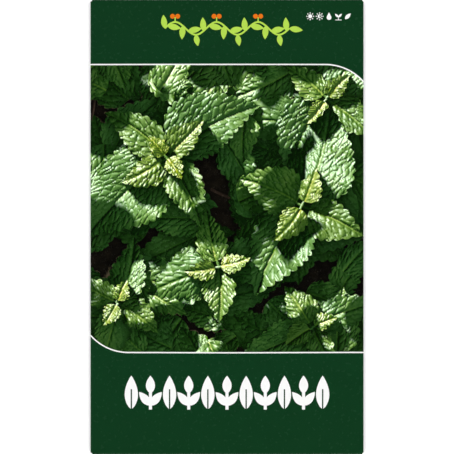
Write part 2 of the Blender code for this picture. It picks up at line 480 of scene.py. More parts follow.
def frieze():
    """Upright leaves and sprouts by turns, in white."""
    tall = FRIEZE_HIGH - FRIEZE_LOW
    start = FRIEZE_LEAF / 2 - FRIEZE_HALF
    pitch = (2 * FRIEZE_HALF - FRIEZE_LEAF) / FRIEZE_PAIRS
    rib_height, rib_width = FRIEZE_RIB
    for k in range(FRIEZE_PAIRS + 1):
        u = start + k * pitch
        yield WHITE, blade((u, FRIEZE_LOW), 90, tall, FRIEZE_LEAF)
        yield GREEN, upright(u, FRIEZE_LOW, rib_height * tall, rib_width)
    for k in range(FRIEZE_PAIRS):
        yield from sprout(start + (k + 0.5) * pitch, FRIEZE_LOW, tall, WHITE)


def vine():
    """A waved stem with pairs of leaves between its bends, and leaves or berries on them."""
    bends = 2 * VINE_WAVES
    pitch = 2 * VINE_HALF / bends
    step = 0.1

    def middle(u):
        return VINE_MIDDLE + VINE_WAVE * math.sin(math.pi * (u + VINE_HALF) / pitch)

    us = np.linspace(-VINE_HALF, VINE_HALF, 15 * bends)
    yield LIME, ribbon([(u, middle(u)) for u in us], VINE_STEM)
    for k in range(bends + 1):
        for side in (-1, 1):
            u = k * pitch - VINE_HALF - PAIR_SHIFT * side * (-1) ** k
            u = min(max(u, -VINE_HALF), VINE_HALF)
            slope = math.degrees(math.atan2(middle(u + step) - middle(u - step), 2 * step))
            yield LIME, blade((u, middle(u)), slope + side * PAIR_TURN, *PAIR_LEAF)
    for k in range(bends):
        u = (k + 0.5) * pitch - VINE_HALF
        if k % 2 == 0:
            yield LIME, upright(u, middle(u), *BERRY_STALK)
            for aside, up in BERRIES:
                yield ORANGE, circle((u + aside, middle(u) + up), BERRY_RADIUS)
        else:
            yield LIME, blade((u, middle(u)), LOW_LEAF_HEADING, *LOW_LEAF)


def sun_sign(place, size, ink, ground):
    """A small sun."""
    disc, ray_start, ray_end, ray_width, rays = 0.25, 0.34, 0.5, 0.11, 8
    yield ink, circle(place, disc * size)
    for k in range(rays):
        ray = [from_local(place, 2 * math.pi * k / rays, r * size, 0) for r in (ray_start, ray_end)]
        yield ink, ribbon(ray, ray_width * size)


def shade_sign(place, size, ink, ground):
    """A small sun with its right half in shade."""
    yield from sun_sign(place, size, ink, ground)
    yield ground, arc(place, 0.17 * size, -90, 90, 10)


def drop_sign(place, size, ink, ground):
    """A drop of water."""
    sunk, radius, tip = 0.15 * size, 0.3 * size, 0.5 * size
    low = arc((place[0], place[1] - sunk), radius, 150, 390, 14)
    yield ink, low + [(place[0], place[1] + tip)]


def sprout_sign(place, size, ink, ground):
    """Two leaves on a stalk over a line of soil."""
    u, v = place
    stalk, length, width, drop = 0.09 * size, 0.62 * size, 0.28 * size, 0.12 * size
    half, soil_top, soil_half = 0.5 * size, 0.42 * size, 0.4 * size
    yield ink, upright(u, v - half, half, stalk)
    for heading in (45, 135):
        yield ink, blade((u, v - drop), heading, length, width)
    yield ink, box((u - soil_half, v - half), (u + soil_half, v - soil_top))


SIGNS = (sun_sign, shade_sign, drop_sign, sprout_sign)


def front_signs():
    """The row of signs, with a plain leaf as its last."""
    for k, sign in enumerate(SIGNS):
        yield from sign((ICON_LEFT + k * ICON_PITCH, ICON_HEIGHT), ICON_SIZE, WHITE, GREEN)
    back = 0.35 * ICON_SIZE
    base = (ICON_LEFT + len(SIGNS) * ICON_PITCH - back, ICON_HEIGHT - back)
    yield WHITE, blade(base, 45, ICON_SIZE, ICON_LEAF_WIDTH)


def digits(text, place, size, ink):
    """Plain digits as areas of ink, centred on a place."""
    curve = bpy.data.curves.new("digits", "FONT")
    curve.body = text
    curve.size = size
    curve.align_x = "CENTER"
    curve.align_y = "CENTER"
    curve.resolution_u = 3
    holder = bpy.data.objects.new("digits", curve)
    mesh = holder.to_mesh()
    spots = [(place[0] + v.co.x, place[1] + v.co.y) for v in mesh.vertices]
    made = [(ink, [spots[i] for i in face.vertices]) for face in mesh.polygons]
    holder.to_mesh_clear()
    bpy.data.objects.remove(holder)
    return made


def back_print():
    """The back panel's pale field, its sprout, its calendar, its signs and its lines to write on."""
    left, right = U_BACK_END + PANEL_EDGE, U_BACK - PANEL_EDGE
    middle = (left + right) / 2
    wide, tall = MONTH_BOX

    def month_at(month):
        return middle + (month - 5.5) * (wide + MONTH_GAP)

    yield PANEL, box((left, PANEL_LOW), (right, PANEL_HIGH), PANEL_CORNER)
    yield from sprout(middle, PANEL_HIGH - PANEL_SPROUT_DROP, PANEL_SPROUT, GREEN)
    for month in range(12):
        u = month_at(month)
        high = (u + wide / 2, CALENDAR_HEIGHT + tall)
        yield GREEN, box((u - wide / 2, CALENDAR_HEIGHT), high, MONTH_CORNER)
        yield from digits(str(month + 1), (u, CALENDAR_HEIGHT + tall / 2), DIGIT_SIZE, PANEL)
    for first, last, ink, drop in SEASONS:
        start, end = month_at(first) - wide / 2, month_at(last) + wide / 2
        top = CALENDAR_HEIGHT - drop
        yield ink, box((start, top - SEASON_BAR), (end, top), SEASON_BAR / 2)
    for k, (sign, size) in enumerate(zip(SIGNS, SIGN_SIZES)):
        spot = (middle + (k - 1.5) * SIGN_PITCH, SIGN_HEIGHT)
        yield GREEN, circle(spot, SIGN_DISC, 36)
        yield from sign(spot, size, PANEL, GREEN)
    for v in WRITING_LINES:
        yield GREEN, box((left + WRITING_INSET, v), (right - WRITING_INSET, v + WRITING_WEIGHT))


def print_areas():
    """Areas of the sheet's printed side and their inks. A later area lies over an earlier one."""
    seam = box((U_SIDE + PRINT_BLEED, Y_BOTTOM), (U_SIDE_END, Y_TOP))
    areas = [(BARE, seam), (WHITE, window(PICTURE_LINE)), (PICTURE, window())]
    return [*areas, *frieze(), *vine(), *front_signs(), *back_print()]


# The picture: a bed of leaves in the sun, worked out and lit here


def swell(place):
    """Height of a round swelling between whole numbers, from 0 to 1."""
    from_edge = 2 * np.abs(place - np.round(place))
    return (1 - (1 - from_edge) ** 2) ** 0.55


def blisters(u, v, seed):
    """Height of round swellings about 1 apart with sharp valleys between them, from 0 to 1."""
    wander, widest = 0.35, 0.9
    i, j = np.floor(u), np.floor(v)
    nearest = np.full(u.shape, 9.0)
    second = nearest
    for di in (-1, 0, 1):
        for dj in (-1, 0, 1):
            a = i + di + 0.5 + wander * scatter(i + di, j + dj, seed)
            b = j + dj + 0.5 + wander * scatter(i + di, j + dj, seed + 1)
            distance = np.hypot(a - u, b - v)
            second = np.minimum(second, np.maximum(nearest, distance))
            nearest = np.minimum(nearest, distance)
    return (1 - (1 - np.clip((second - nearest) / widest, 0, 1)) ** 2) ** 0.7


class Leaf:
    """A toothed, quilted leaf seen from above. along runs up its bent midrib and side to its left."""

    brown = False

    def __init__(self, base, heading, length, width, level, draw, rise, youth):
        self.base = base
        self.heading = heading
        self.length = length
        self.half = (width / 2 * draw.uniform(0.7, 1.1), width / 2 * draw.uniform(0.7, 1.1))
        self.level = level
        self.rise = rise
        self.youth = youth
        bend = draw.uniform(0.05, 0.5) * draw.choice((-1, 1)) / length
        self.flip = math.copysign(1, bend)
        self.radius = 1 / abs(bend)
        self.droop = draw.uniform(0.25, 0.6) + 0.5 * rise
        self.cup = draw.uniform(-0.1, 0.5)
        self.tilt = draw.uniform(-0.35, 0.35)
        self.wave = draw.uniform(0.03, 0.07) * width
        self.teeth = max(6, round(length * draw.uniform(0.36, 0.44)))
        self.tooth_start = draw.random()
        self.vein_gap = length / max(4, round(length / draw.uniform(5.2, 6.4)))
        self.cell = draw.uniform(1.8, 2.3)
        self.quilt = draw.uniform(0.4, 0.62)
        self.tone = draw.uniform(0.85, 1.15)
        self.seed = draw.uniform(0, 100)

    def local(self, x, y):
        p, q = to_local(self.base, self.heading, x, y)
        q = self.radius - q * self.flip
        return np.arctan2(p, q) * self.radius, (self.radius - np.hypot(p, q)) * self.flip

    def place(self, along, side):
        away = self.radius - side * self.flip
        p = away * np.sin(along / self.radius)
        q = (self.radius - away * np.cos(along / self.radius)) * self.flip
        return from_local(self.base, self.heading, p, q)

    def reach(self, along, left):
        """How far the toothed margin is from the midrib, on the left or on the right."""
        s = np.clip(along / self.length, 0, 1)
        low, high = 0.48, 1.12
        widest = low / (low + high)
        shape = s**low * (1 - s) ** high / (widest**low * (1 - widest) ** high)
        phase = self.teeth * (0.12 * s + 0.88 * s**0.9) + self.tooth_start + np.where(left, 0, 0.4)
        tooth = np.sin(math.pi * (phase - np.floor(phase)) ** 1.3) ** 0.8 - 0.6
        size = (0.6 + 0.05 * self.half[0]) * np.minimum(1, 6 * s) * np.minimum(1, 5 * (1 - s) + 0.15)
        return np.where(left, self.half[0], self.half[1]) * shape + size * tooth

    def covers(self, x, y):
        near = np.hypot(x - self.base[0], y - self.base[1]) < 1.1 * self.length
        along, side = self.local(x[near], y[near])
        near[near] = (along > 0) & (along < self.length) & (np.abs(side) < self.reach(along, side > 0))
        return near

    def height(self, x, y):
        """Height of the upper face over the ground: the bent blade, its quilted cells and its rib."""
        along, side = self.local(x, y)
        away = np.abs(side)
        share = away / np.where(side > 0, self.half[0], self.half[1])
        ruffle = self.wave * share**2 * np.sin(2 * math.pi * along / (0.37 * self.length) + self.seed)
        body = self.rise * along - self.droop * along**2 / self.length / 2
        body = body + self.cup * away + self.tilt * side - 0.16 * away * share
        body = body + ruffle + bumps(x, y, 0.35, 7, self.seed + 1)
        along = along + bumps(x, y, 0.5, 2.9, self.seed)
        away = away + bumps(x, y, 0.5, 2.2, self.seed + 7)
        vein = (along - (0.72 + 0.4 * share) * away) / self.vein_gap
        rows = 2 * vein + np.where(side > 0, 0, 40)
        dome = (0.5 + 0.5 * swell(vein)) * (0.15 + 0.85 * blisters(rows, away / self.cell, self.seed))
        rib = 1 - np.exp(-((side / 0.6) ** 2))
        quilt = self.quilt * dome * (0.25 + 0.75 * rib) - 0.3 * (1 - rib)
        return self.level + body + quilt + bumps(x, y, 0.07, 1.0, self.seed + 3)

    def pale(self, x, y):
        """How pale the midrib makes a point, from 0 to 1."""
        along, side = self.local(x, y)
        return np.exp(-((side / 0.3) ** 2)) * np.clip(1.2 - along / self.length, 0, 1)

    def outline(self):
        """The margin as a closed ring of points."""
        count = self.teeth * TOOTH_POINTS
        along = self.length * (np.arange(count) + 0.5) / count
        start = self.place(np.zeros(1), np.zeros(1))
        left = self.place(along, self.reach(along, True))
        tip = self.place(np.array([self.length]), np.zeros(1))
        right = self.place(along[::-1], -self.reach(along[::-1], False))
        return [np.concatenate(parts) for parts in zip(start, left, tip, right)]


class Stem:
    """A round stalk between two points, swaying a little."""

    youth = 0.2

    def __init__(self, start, end, width, level, draw, brown=False):
        self.start = start
        self.length = math.hypot(end[0] - start[0], end[1] - start[1])
        self.heading = math.atan2(end[1] - start[1], end[0] - start[0])
        self.half = width / 2
        self.level = level
        self.brown = brown
        self.tone = draw.uniform(0.8, 1.1)
        self.seed = draw.uniform(0, 100)

    def sway(self, along):
        return 0.3 * np.sin(0.35 * along + self.seed)

    def local(self, x, y):
        along, side = to_local(self.start, self.heading, x, y)
        return along, side + self.sway(along)

    def covers(self, x, y):
        along, side = self.local(x, y)
        return (along > 0) & (along < self.length) & (np.abs(side) < self.half)

    def height(self, x, y):
        _, side = self.local(x, y)
        return self.level + np.sqrt(np.maximum(0.02, self.half**2 - side**2))

    def pale(self, x, y):
        return np.zeros_like(x)

    def outline(self):
        along = np.linspace(0, self.length, 2 + int(self.length / 0.8))
        sway = self.sway(along)
        along = np.concatenate((along, along[::-1]))
        side = np.concatenate((self.half - sway, -self.half - sway[::-1]))
        return from_local(self.start, self.heading, along, side)


def shoot(centre, heading, level, pairs, draw):
    """A shoot from above: pairs of leaves, each a quarter turn on from the last, smaller and higher."""
    stalk_share, stalk_width, tuck, climb = 0.11, 0.9, 0.6, 4
    made = []
    for k, (length, width) in enumerate(pairs):
        for turn in (heading + k * math.pi / 2, heading + (k + 2) * math.pi / 2):
            turn += draw.uniform(-0.16, 0.16)
            base = from_local(centre, turn, stalk_share * length, 0)
            end = from_local(base, turn, tuck, 0)
            size = draw.uniform(0.9, 1.08)
            above = level + climb * k
            made.append(Stem(centre, end, stalk_width, above - 1, draw))
            rise, youth = 0.05 + 0.18 * k, 0.12 + 0.26 * k
            made.append(Leaf(base, turn, length * size, width * size, above, draw, rise, youth))
    return made


def bed():
    """The picture's stems and leaves, from the ground up."""
    draw = random.Random(BED_RANDOM)
    full_turn = 2 * math.pi
    made = []
    for _ in range(BRANCHES):
        start = (draw.uniform(-55, 55), draw.uniform(-50, 62))
        end = from_local(start, draw.uniform(0, full_turn), draw.uniform(18, 40), 0)
        made.append(Stem(start, end, draw.uniform(0.7, 1.3), draw.uniform(0.5, 3), draw, brown=True))
    columns, rows = range(-52, 60, LOW_LEAF_PITCH), range(-48, 64, LOW_LEAF_PITCH)
    spots = [(x + draw.uniform(-4, 4), y + draw.uniform(-4, 4)) for x in columns for y in rows]
    draw.shuffle(spots)
    for k, spot in enumerate(spots):
        length, heading = draw.uniform(15, 27), draw.uniform(0, full_turn)
        width = length * draw.uniform(0.62, 0.76)
        rise, youth = draw.uniform(-0.1, 0.3), draw.uniform(0, 0.35)
        made.append(Leaf(spot, heading, length, width, 2 + 9 * k / len(spots), draw, rise, youth))
    for place, heading, level, pairs in SHOOTS:
        made += shoot(place, heading, level, pairs, draw)
    return made


def top_item(items, x, y):
    """Index of the uppermost leaf or stem at each point, or -1 on the ground."""
    top = np.full(x.shape, -1)
    for k, item in enumerate(items):
        top[item.covers(x, y)] = k
    return top


class Canopy:
    """The bed's height on a grid, for its shadows."""

    def __init__(self, items):
        self.low = np.array((U_BACK, PICTURE_BOTTOM)) - BED_MARGIN
        high = np.array((U_SIDE, PICTURE_TOP)) + BED_MARGIN
        self.last = np.ceil((high - self.low) / BED_PITCH).astype(int)
        steps = [self.low[k] + BED_PITCH * np.arange(self.last[k] + 1) for k in (0, 1)]
        x, y = np.meshgrid(*steps, indexing="ij")
        self.grid = bumps(x, y, *CLODS, seed=5) + bumps(x, y, *CRUMBS, seed=6)
        top = top_item(items, x, y)
        for k, item in enumerate(items):
            here = top == k
            self.grid[here] = item.height(x[here], y[here])

    def height(self, x, y):
        i = np.clip(((x - self.low[0]) / BED_PITCH + 0.5).astype(int), 0, self.last[0])
        j = np.clip(((y - self.low[1]) / BED_PITCH + 0.5).astype(int), 0, self.last[1])
        return self.grid[i, j]

    def sunlit(self, x, y, z):
        """Share of the sun that reaches each point."""
        slack, blur, blur_growth = 0.15, 0.1, 0.03
        total = np.zeros_like(x)
        for spread in SUN_SPREADS:
            c, s = math.cos(SUN_HEADING + spread), math.sin(SUN_HEADING + spread)
            climb = math.tan(SUN_HEIGHT + spread / 2)
            lit = np.ones_like(x)
            for step in SHADOW_STEPS:
                over = self.height(x + step * c, y + step * s) - z - step * climb
                lit = np.minimum(lit, np.clip(1 - (over - slack) / (blur + blur_growth * step), 0, 1))
            total += lit / len(SUN_SPREADS)
        return total

    def open_sky(self, x, y, z):
        """How much of the sky shows from each point, from 0 to 1."""
        ways, steepest, contrast = 8, 1.5, 2.2
        hidden = np.zeros_like(x)
        for ring in SKY_RINGS:
            for k in range(ways):
                turn = 2 * math.pi * (k + ring) / ways
                over = self.height(x + ring * math.cos(turn), y + ring * math.sin(turn)) - z
                hidden += np.clip(over / ring, 0, steepest) / steepest
        return (1 - hidden / (ways * len(SKY_RINGS))) ** contrast


def lobe(facing, strength, sharpness):
    """Light from one way, for how squarely a face looks that way."""
    return strength * facing**sharpness


def leaf_colour(item, canopy, x, y):
    """Print colour of one leaf or stem at points of the picture."""
    z = item.height(x, y)
    step = SLOPE_STEP
    slope_x = (item.height(x + step, y) - item.height(x - step, y)) / (2 * step)
    slope_y = (item.height(x, y + step) - item.height(x, y - step)) / (2 * step)
    steep = np.sqrt(1 + slope_x**2 + slope_y**2)

    def facing(way):
        return np.clip((way[2] - slope_x * way[0] - slope_y * way[1]) / steep, 0, 1)

    glint = facing(unit(SUN + (0, 0, 1)))
    fill = facing(FILL)
    patches = bumps(x, y, *WIDE_PATCHES, seed=33) + bumps(x, y, *SMALL_PATCHES, seed=32)
    sun = canopy.sunlit(x, y, z) * np.clip(patches + PATCH_BY_HEIGHT * z - PATCH_LEVEL, 0, 1)
    sky = canopy.open_sky(x, y, z)
    light = lobe(facing(SUN), *SUN_LIGHT) * sun + lobe(fill, *SKY_LIGHT) * sky + LEAST_LIGHT
    gloss = (lobe(glint, *SUN_GLOSS) + lobe(glint, *SUN_SHEEN)) * sun
    gloss = gloss + lobe(fill, *SKY_GLOSS) * sky
    pale = item.pale(x, y)
    tone = light * item.tone * (1 + RIB_BRIGHTNESS * pale)
    colour = [np.interp(tone, LEAF_BRIGHTNESS, shades) for shades in (LEAF_RED, LEAF_GREEN, LEAF_BLUE)]
    youth = item.youth + RIB_YOUTH * pale + bumps(x, y, *YOUTH_PATCHES, item.seed)
    youth = np.clip(youth, 0, 1)[:, None]
    colour = np.stack(colour, -1) * ((1 - youth) * OLD_LEAF_TINT + youth * YOUNG_LEAF_TINT)
    if item.brown:
        colour = colour.mean(1)[:, None] * STEM_TINT
    return colour + gloss[:, None] * GLOSS_TINT


def ground_colour(canopy, x, y):
    """Print colour of the soil between the leaves."""
    z = canopy.height(x, y)
    least, by_sky, by_sun = SOIL_LIGHTS
    light = least + by_sky * canopy.open_sky(x, y, z) + by_sun * canopy.sunlit(x, y, z)
    return (light * (1 + bumps(x, y, *SOIL_PATCHES, seed=9)))[:, None] * SOIL_TINT


def leaf_edges(items):
    """The stretches of the leaves' outlines that show in the picture, as pairs of points."""
    picture = window()
    starts, ends = [], []
    for k, item in enumerate(items):
        x, y = item.outline()
        shown = inside(picture, x, y)
        for above in items[k + 1 :]:
            if not shown.any():
                break
            shown[shown] = ~above.covers(x[shown], y[shown])
        keep = shown | np.roll(shown, -1)
        points = np.stack((x, y), -1)
        starts.append(points[keep])
        ends.append(np.roll(points, -1, 0)[keep])
    return zip(np.concatenate(starts), np.concatenate(ends))


# The sheet's mesh


def blank_corners():
    """Corners of the flat sheet and their radii, anticlockwise from the front's lower left."""
    side = 1 - SIDE_TAPER * (U_SIDE_END - X_RIGHT) / SIDE_FLAP
    under = 1 - FLAP_TAPER * (Y_BOTTOM - V_UNDER_END) / BOTTOM_FLAP
    over = 1 - FLAP_TAPER * (V_OVER_END - Y_TOP) / CLOSURE_FLAP
    left, right = X_LEFT + END_CUT, X_RIGHT - END_CUT
    low, high = Y_BOTTOM + END_CUT, Y_TOP - END_CUT
    bottom, top = V_UNDER_END, V_OVER_END
    bottom_flap = [(left, Y_BOTTOM), (left * under, bottom), (right * under, bottom), (right, Y_BOTTOM)]
    side_flap = [(X_RIGHT, low), (U_SIDE_END, low * side), (U_SIDE_END, high * side), (X_RIGHT, high)]
    closure_flap = [(right, Y_TOP), (right * over, top), (left * over, top), (left, Y_TOP)]
    back_panel = [(X_LEFT, high), (U_BACK_END, high), (U_BACK_END, low), (X_LEFT, low)]
    corners = [(X_LEFT, Y_BOTTOM), *bottom_flap, (X_RIGHT, Y_BOTTOM), *side_flap]
    corners += [(X_RIGHT, Y_TOP), *closure_flap, (X_LEFT, Y_TOP), *back_panel]
    outer_radii = (FLAP_CORNER, FLAP_CORNER, FLAP_CORNER, FRONT_CORNER)
    return corners, [radius for outer in outer_radii for radius in (FRONT_CORNER, 0, outer, outer, 0)]


def fold_lines():
    """Lines along each fold, close enough together to bend it round: (axis, position) on the flat sheet."""
    shares = [k / FOLD_STEPS for k in range(FOLD_STEPS + 1)]
    return [(axis, start + (end - start) * share) for axis, start, end, _ in FOLDS for share in shares]


def split(polygon, lines=()):
    """The polygon with points added on its long sides, and wherever a side meets one of the lines."""
    made = []
    for start, end in zip(polygon, np.roll(polygon, -1, 0)):
        start, end = np.array(start), np.array(end)
        count = math.ceil(norm(end - start) / OUTLINE_PITCH)
        shares = {k / count for k in range(count)}
        for axis, position in lines:
            if (start[axis] - position) * (end[axis] - position) < 0:
                shares.add((position - start[axis]) / (end[axis] - start[axis]))
        made += [tuple(start + (end - start) * s) for s in sorted(shares)]
    return made


def blank_outline():
    """The flat sheet's edge, with a point wherever a fold line meets it."""
    return split(rounded(*blank_corners()), fold_lines())


def fold_line_ends():
    """Both ends of each fold line, on the sheet's edge."""
    outline = blank_outline()
    made = []
    for axis, position in fold_lines():
        on_line = [p for p in outline if abs(p[axis] - position) < 1e-6]
        on_line.sort(key=lambda p: p[1 - axis])
        made.append((on_line[0], on_line[-1]))
    return made


def lattice(low, high, pitch):
    """Points in rows, each row half a step on from the last."""
    rows = np.arange(low[1], high[1], pitch * math.sqrt(3) / 2)
    made = []
    for k, v in enumerate(rows):
        us = np.arange(low[0] + (k % 2) * pitch / 2, high[0], pitch)
        made.append(np.stack((us, np.full(len(us), v)), -1))
    return np.concatenate(made)


class Net:
    """Points on the flat sheet and edges between them, made into triangles inside an outline."""

    def __init__(self, outline):
        self.outline = outline
        self.points = []
        self.edges = []
        self.add_ring(outline)
        self.add_lines(fold_line_ends())

    def add_ring(self, ring):
        first, count = len(self.points), len(ring)
        self.edges += [(first + k, first + (k + 1) % count) for k in range(count)]
        self.add_points(ring)

    def add_lines(self, pairs):
        for pair in pairs:
            self.edges.append((len(self.points), len(self.points) + 1))
            self.add_points(pair)

    def add_points(self, points):
        self.points += [tuple(p) for p in points]

    def triangles(self):
        """Points and triangles inside the outline, keeping every edge."""
        all_triangles, merge_distance = 0, 1e-5
        made = delaunay_2d_cdt(self.points, self.edges, [], all_triangles, merge_distance, False)
        points, faces = np.array([tuple(p) for p in made[0]]), np.array(made[2])
        middle = points[faces].mean(1)
        faces = faces[inside(self.outline, *middle.T)]
        used, place = np.unique(faces.ravel(), return_inverse=True)
        return points[used], place.reshape(-1, 3)


def flat_points():
    """A wide lattice on the back panel and the flaps."""
    made = lattice((U_BACK_END + FLAT_GAP, V_UNDER_END + FLAT_GAP), (U_SIDE_END, V_OVER_END), FLAT_PITCH)
    u, v = made.T
    on_front = (u > X_LEFT - FLAT_GAP) & (u < X_RIGHT + FLAT_GAP)
    on_front &= (v > Y_BOTTOM - END_GAP) & (v < Y_TOP + END_GAP)
    return made[inside(blank_outline(), u, v) & ~on_front]


def outer_net(items, areas):
    """Triangles of the printed face."""
    net = Net(blank_outline())
    for _, polygon in areas:
        net.add_ring(split(polygon))
    net.add_lines(leaf_edges(items))
    left, right = X_LEFT + PICTURE_GAPS[0], X_RIGHT - PICTURE_GAPS[1]
    fine = lattice((left, PICTURE_BOTTOM), (right, PICTURE_TOP), PICTURE_PITCH)
    net.add_points(fine[inside(window(), *fine.T)])
    front = lattice((X_LEFT + FRONT_GAP, Y_BOTTOM + FRONT_GAP), (X_RIGHT, Y_TOP), FRONT_PITCH)
    net.add_points(front[~inside(window(FLAT_GAP), *front.T)])
    along = np.arange(PICTURE_BOTTOM, PICTURE_TOP, 1.2 * PICTURE_PITCH)
    net.add_points([(position, v) for axis, position in fold_lines() if axis == 0 for v in along])
    net.add_points(flat_points())
    return net.triangles()


def inner_net(ring):
    """Triangles of the unprinted face, inside the same ring of points."""
    net = Net(ring)
    low = (X_LEFT + FRONT_GAP, Y_BOTTOM + FRONT_GAP)
    net.add_points(lattice(low, (X_RIGHT - INNER_GAP, Y_TOP - INNER_GAP), FRONT_PITCH))
    net.add_points(flat_points())
    return net.triangles()


def border(faces):
    """The vertices round the edge of a net of triangles, in order."""
    sides = np.concatenate((faces[:, [0, 1]], faces[:, [1, 2]], faces[:, [2, 0]]))
    known = set(map(tuple, sides))
    after = {a: b for a, b in known if (b, a) not in known}
    ring = [min(after)]
    while after[ring[-1]] != ring[0]:
        ring.append(after[ring[-1]])
    if len(ring) != len(after):
        raise ValueError("the sheet's edge isn't one ring")
    return ring


def rim_faces(ring, first):
    """Triangles of the cut edge, between a ring of points and the same ring numbered on from a first one."""
    here = np.array(ring)
    below = first + np.arange(len(ring))
    there, beside = np.roll(here, -1), np.roll(below, -1)
    return np.concatenate((np.stack((there, here, below), -1), np.stack((there, below, beside), -1)))


def picture_colours(items, points, faces):
    """Colour at each corner of the picture's triangles, sharpened."""
    canopy = Canopy(items)
    middle = points[faces].mean(1)
    owner = np.repeat(top_item(items, *middle.T), 3)
    pairs, place = np.unique(np.stack((faces.ravel(), owner), -1), axis=0, return_inverse=True)
    around = circle((0, 0), SHARPEN_REACH, SHARPEN_POINTS)
    taken = [((0, 0), 1 + SHARPEN)] + [(shift, -SHARPEN / SHARPEN_POINTS) for shift in around]
    colours = np.zeros((len(pairs), 3))
    for k in np.unique(owner):
        here = pairs[:, 1] == k
        for shift, weight in taken:
            x, y = (points[pairs[here, 0]] + shift).T
            colour = ground_colour(canopy, x, y) if k < 0 else leaf_colour(items[k], canopy, x, y)
            colours[here] += weight * colour
    return np.maximum(colours, 0)[place.ravel()]


def add_object(name, data):
    made = bpy.data.objects.new(name, data)
    bpy.context.scene.collection.objects.link(made)
    return made


def paper_sheet(materials):
    """The printed sheet, folded: printed face, unprinted face and the cut edge between them."""
    areas = print_areas()
    items = bed()
    points, faces = outer_net(items, areas)
    ring = border(faces)
    inner_points, inner_faces = inner_net(points[ring])
    if border(inner_faces) != list(range(len(ring))):
        raise ValueError("the sheet's two faces don't share an edge")
    rim = rim_faces(ring, len(points))

    middle = points[faces].mean(1)
    ink = np.full(len(faces), GREEN)
    for area_ink, polygon in areas:
        ink[inside(polygon, *middle.T)] = area_ink
    colours = np.zeros((3 * len(faces), 3))
    in_picture = ink == PICTURE
    colours[np.repeat(in_picture, 3)] = picture_colours(items, points, faces[in_picture])

    normals = fold_normals(*points.T)
    inner_normals = fold_normals(*inner_points.T)
    outer = fold(*points.T) + normals * PAPER / 2
    inner = fold(*inner_points.T) - inner_normals * PAPER / 2
    verts = np.concatenate((outer, inner)) * MM
    under = inner_faces[:, ::-1]
    all_faces = np.concatenate((faces, under + len(points), rim))
    a, b, c = (verts[rim[:, k]] for k in range(3))
    flat = unit(np.cross(b - a, c - a))
    corner_normals = (normals[faces.ravel()], -inner_normals[under.ravel()], np.repeat(flat, 3, 0))

    mesh = bpy.data.meshes.new("paper_sheet")
    mesh.from_pydata(verts.tolist(), [], all_faces.tolist())
    for material in materials:
        mesh.materials.append(material)
    slots = np.full(len(all_faces), BARE)
    slots[: len(faces)] = ink
    mesh.polygons.foreach_set("material_index", slots)
    mesh.shade_smooth()
    mesh.normals_split_custom_set(np.concatenate(corner_normals).tolist())
    picture = mesh.color_attributes.new("picture", "FLOAT_COLOR", "CORNER")
    values = np.ones((3 * len(all_faces), 4), np.float32)
    values[: len(colours), :3] = colours
    picture.data.foreach_set("color", values.ravel())
    add_fold_wear(mesh, np.concatenate((points, inner_points)).T)
    mesh.update()
    return add_object("paper_sheet", mesh)


def add_fold_wear(mesh, place):
    """How far round each fold a point lies: 0 on the flat, 1 on the outermost line."""
    wear = np.zeros(len(mesh.vertices))
    for _, _, distance, radius in past_folds(place):
        wear = np.maximum(wear, np.sin(np.clip(distance / radius, 0, math.pi)))
    layer = mesh.attributes.new("fold_wear", "FLOAT", "POINT")
    layer.data.foreach_set("value", wear.astype(np.float32))


def solid(name, bm, material):
    """A smooth object from a bmesh, which it uses up."""
    mesh = bpy.data.meshes.new(name)
    bm.to_mesh(mesh)
    bm.free()
    mesh.materials.append(material)
    mesh.shade_smooth()
    return add_object(name, mesh)


# Seeds


def add_seed(bm, x, y, z, draw):
    """One seed, blunter at one end, turned and shifted a little."""
    long, wide, thick = SEED_SIZE
    bulge, taper, most_turn, most_shift = 0.16, 0.5, 6.28, 0.05
    grown = bmesh.ops.create_icosphere(bm, subdivisions=2, radius=0.5)["verts"]
    for vert in grown:
        vert.co.x *= long * (1 + bulge * vert.co.x)
        vert.co.y *= wide * (1 - taper * vert.co.x)
        vert.co.z *= thick
    turn = Matrix.Rotation(draw.uniform(0, most_turn), 3, "Z")
    bmesh.ops.rotate(bm, cent=(0, 0, 0), matrix=turn, verts=grown)
    shift = (x + draw.uniform(-most_shift, most_shift), y + draw.uniform(-most_shift, most_shift), z)
    bmesh.ops.translate(bm, vec=shift, verts=grown)


def seed_heap(material):
    """Smooth seeds in the packet, two deep in the middle of the heap."""
    draw = random.Random(SEED_RANDOM)
    low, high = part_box("seeds")
    middle = (low + high) / 2 / MM
    half = (high - low) / 2 / MM
    thick = SEED_SIZE[2]
    floor = Z_BACK + PAPER / 2 + SEED_CLEARANCE
    bm = bmesh.new()
    for layer, reach in enumerate(LAYER_REACHES):
        shift = layer * np.array(LAYER_SHIFT) * SEED_PITCH
        for x, y in lattice((-half.x, -half.y), (half.x, half.y), SEED_PITCH) + shift:
            if (x / half.x) ** 2 + (y / half.y) ** 2 <= reach**2:
                z = floor + thick / 2 + layer * LAYER_RISE * thick
                add_seed(bm, middle.x + x, middle.y + y, z, draw)
    bmesh.ops.scale(bm, vec=(MM, MM, MM), verts=bm.verts)
    return solid("seed_heap", bm, material)


# Materials


